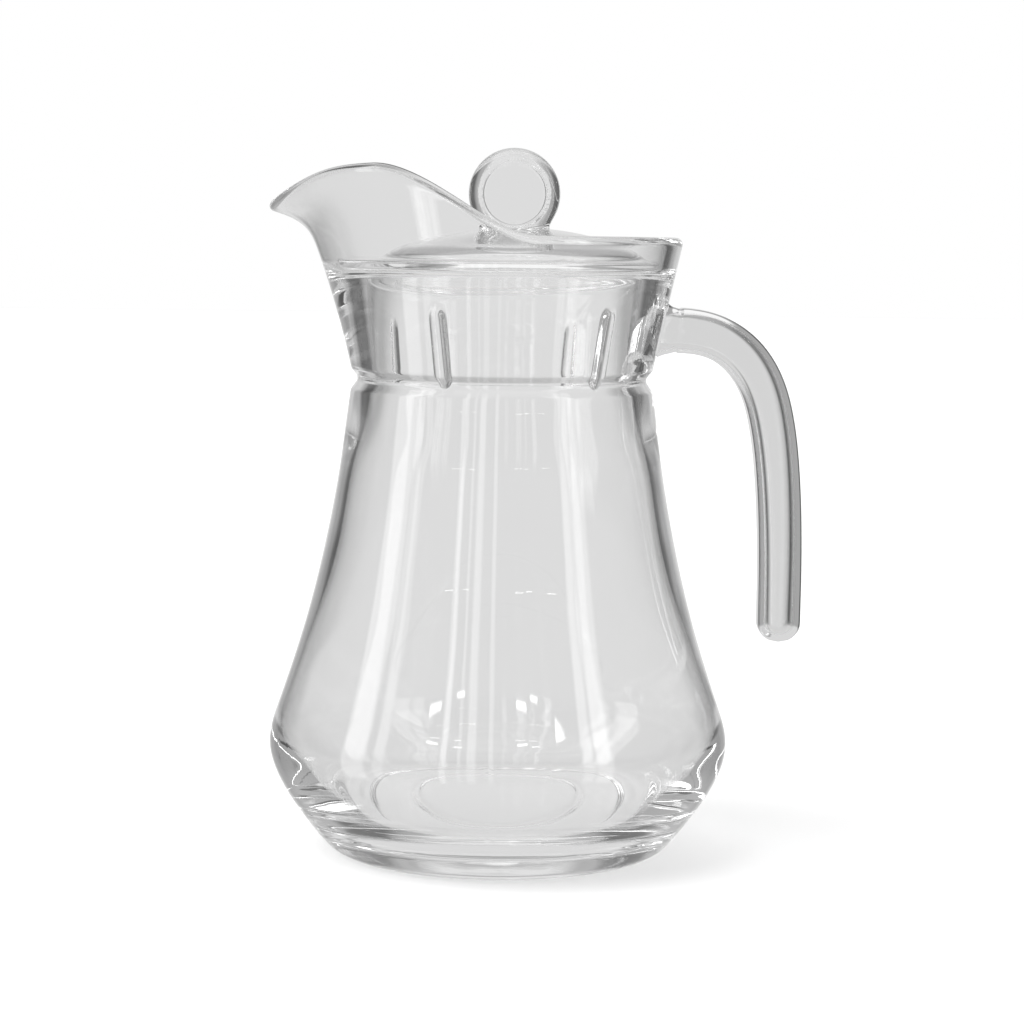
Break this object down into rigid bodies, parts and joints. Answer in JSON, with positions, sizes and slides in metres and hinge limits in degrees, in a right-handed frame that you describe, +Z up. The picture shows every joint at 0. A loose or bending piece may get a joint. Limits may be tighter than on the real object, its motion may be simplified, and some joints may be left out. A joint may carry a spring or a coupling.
{
  "type": "glass water jug with lid",
  "caption": "Pear-shaped clear glass water jug with a flared ribbed collar, raised pouring lip, open hook handle and a drop-in domed glass lid with a disc knob.",
  "frame": {"origin": "centre of the jug's underside, on the plane it stands on, on the body's own axis", "axes": "+Z up along the body's axis, -X towards the spout, +X towards the handle"},
  "size_m": [0.1675, 0.1438, 0.2199],
  "materials": {
    "body_glass": "clear, fire-polished, slightly wavy inside, faint green where thick",
    "handle_glass": "clear, fire-polished rod, drawn by hand",
    "lid_glass": "clear, pressed",
    "knob_glass": "clear, pressed, polished faces"
  },
  "bodies": {
    "jug": {"jug_body": "body_glass", "handle": "handle_glass"},
    "lid_set": {"lid": "lid_glass", "lid_knob": "knob_glass"}
  },
  "joints": [
    {"name": "lid_lift", "type": "slide", "parent": "jug", "child": "lid_set", "axis": [0, 0, 1], "range_m": [0, 0.08]}
  ]
}
